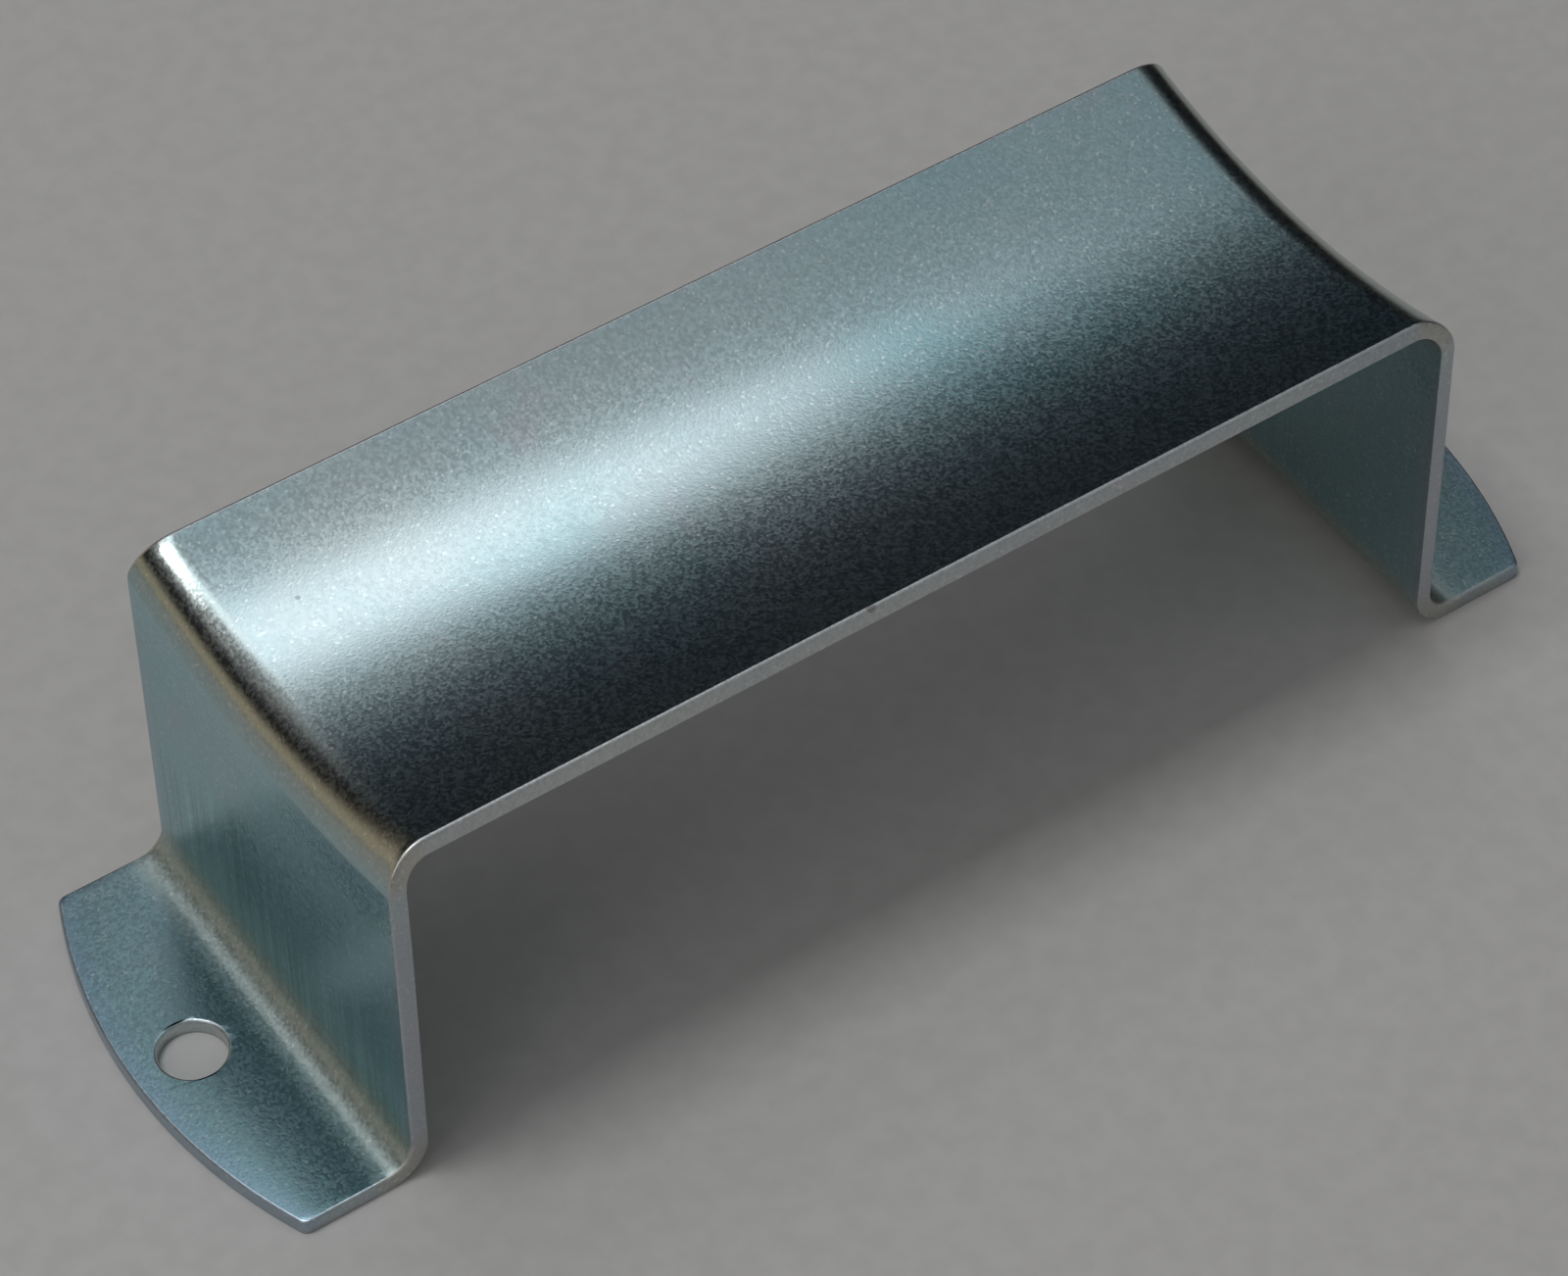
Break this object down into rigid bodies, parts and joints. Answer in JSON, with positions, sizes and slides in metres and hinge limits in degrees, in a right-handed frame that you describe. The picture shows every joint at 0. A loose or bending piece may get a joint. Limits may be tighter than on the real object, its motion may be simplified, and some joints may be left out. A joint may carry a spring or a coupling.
{
  "type": "bridge pull handle",
  "caption": "Bridge-shaped pull handle folded from one strip of sheet metal, with a dished grip, straight legs and drilled feet with curved ends.",
  "frame": {"origin": "middle of the footprint, on the plane of the feet's undersides", "axes": "+X along the grip from one foot to the other, +Y across the strip, +Z from the feet up to the grip"},
  "size_m": [0.131, 0.04, 0.0379],
  "materials": {
    "zinc_plate": "blue-passivated bright zinc plate over rolled steel sheet, fine sparkling grain on the grip and feet, drawn streaks down the legs"
  },
  "bodies": {
    "root": {"handle": "zinc_plate"}
  },
  "joints": []
}
